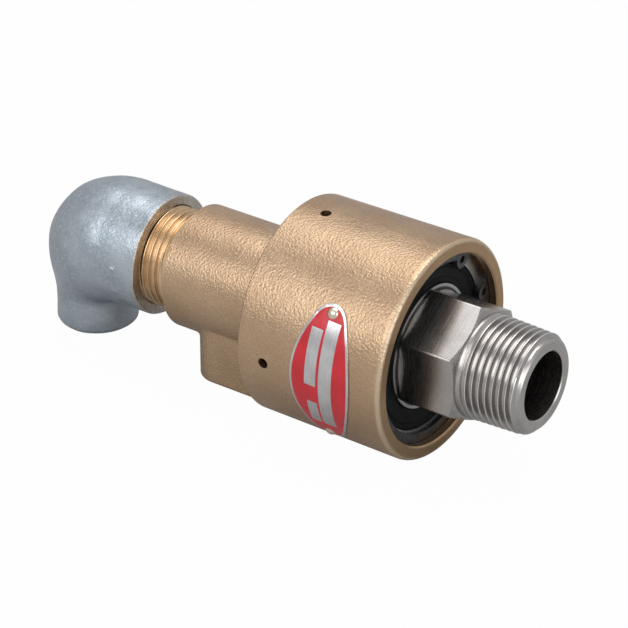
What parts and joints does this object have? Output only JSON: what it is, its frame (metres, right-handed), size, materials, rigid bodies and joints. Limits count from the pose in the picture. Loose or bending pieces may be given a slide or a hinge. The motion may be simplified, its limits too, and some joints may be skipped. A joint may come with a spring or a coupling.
{
  "type": "hydraulic rotary union",
  "caption": "Rotary union with a turning threaded rotor in a bronze casing, side port boss, and an elbow at the back for the second line.",
  "frame": {"origin": "where the rotor's axis meets the front face of the casing", "axes": "+X along the rotor's axis, out of its threaded end; the port boss and the elbow's outlet point along -Z"},
  "size_m": [0.1866, 0.0721, 0.0716],
  "materials": {
    "cast_bronze": "sand-cast bronze, satin, blasted grain",
    "machined_bronze": "turned bronze",
    "galvanised_iron": "hot-dip galvanised malleable iron",
    "stainless": "turned stainless steel",
    "bearing_steel": "ground bearing steel",
    "cage_brass": "turned",
    "seal_rubber": "moulded nitrile",
    "o_ring_rubber": "moulded",
    "spring_steel": "phosphated spring steel",
    "pin_steel": "bright drawn",
    "hard_face": "lapped",
    "carbon": "lapped carbon graphite",
    "nameplate_enamel": "enamelled aluminium, no lettering"
  },
  "bodies": {
    "casing": {"casing": "cast_bronze", "nameplate": "nameplate_enamel", "nameplate_pins": "pin_steel", "casing_retaining_ring": "spring_steel", "rear_nipple": "machined_bronze", "elbow": "galvanised_iron", "anti_rotation_pins": "pin_steel", "seal_spring": "spring_steel", "front_bearing_outer_ring": "bearing_steel", "front_bearing_front_seal": "seal_rubber", "front_bearing_rear_seal": "seal_rubber", "rear_bearing_outer_ring": "bearing_steel", "rear_bearing_front_seal": "seal_rubber", "rear_bearing_rear_seal": "seal_rubber"},
    "rotor": {"rotor": "stainless", "front_bearing_inner_ring": "bearing_steel", "rear_bearing_inner_ring": "bearing_steel", "shaft_retaining_ring": "spring_steel", "mating_ring": "hard_face", "mating_ring_o_ring": "o_ring_rubber"},
    "front_cage": {"front_bearing_balls": "bearing_steel", "front_bearing_cage": "cage_brass"},
    "rear_cage": {"rear_bearing_balls": "bearing_steel", "rear_bearing_cage": "cage_brass"},
    "seal_ring": {"seal_ring": "carbon", "seal_ring_o_ring": "o_ring_rubber"}
  },
  "joints": [
    {"name": "rotor_spin", "type": "hinge", "parent": "casing", "child": "rotor", "pos_m": [0, 0, 0], "axis": [1, 0, 0], "continuous": true},
    {"name": "front_cage_spin", "type": "hinge", "parent": "casing", "child": "front_cage", "pos_m": [-0.013, 0, 0], "axis": [1, 0, 0], "continuous": true},
    {"name": "rear_cage_spin", "type": "hinge", "parent": "casing", "child": "rear_cage", "pos_m": [-0.029, 0, 0], "axis": [1, 0, 0], "continuous": true},
    {"name": "seal_ring_float", "type": "slide", "parent": "casing", "child": "seal_ring", "axis": [1, 0, 0], "range_m": [-0.0015, 0], "stiffness_N_per_m": 8000, "springref_m": 0.002, "deforming": ["seal_spring"]}
  ],
  "couplings": [
    {"joint": "front_cage_spin", "follows": "rotor_spin", "ratio": 0.39647},
    {"joint": "rear_cage_spin", "follows": "rotor_spin", "ratio": 0.39647}
  ]
}
